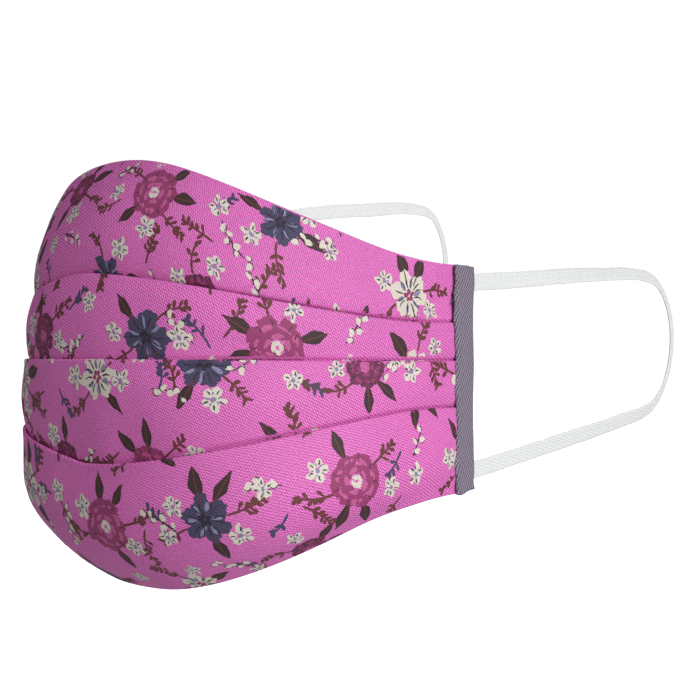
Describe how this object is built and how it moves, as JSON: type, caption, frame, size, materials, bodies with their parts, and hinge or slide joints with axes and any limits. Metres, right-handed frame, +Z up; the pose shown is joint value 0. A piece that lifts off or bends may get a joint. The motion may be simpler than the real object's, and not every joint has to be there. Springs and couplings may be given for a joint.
{
  "type": "pleated cloth face mask",
  "caption": "Worn-shaped pleated cloth face mask in floral printed twill, with tape-bound side edges and flat elastic ear loops.",
  "frame": {"origin": "the nose seat: the inner face of the top hem at the middle, where the mask rests on the bridge of the nose", "axes": "+Z up as worn; the wearer faces -Y, so +Y runs back along the ear loops; +X to the wearer's left"},
  "size_m": [0.1378, 0.2044, 0.1254],
  "materials": {
    "printed_twill": "fine diagonal twill, soft sheen, floral print",
    "binding_tape": "matte twill tape",
    "white_elastic": "matte ribbed knit elastic"
  },
  "bodies": {
    "root": {"mask_cloth": "printed_twill", "binding_left": "binding_tape", "binding_right": "binding_tape", "ear_loop_left": "white_elastic", "ear_loop_right": "white_elastic"}
  },
  "joints": []
}
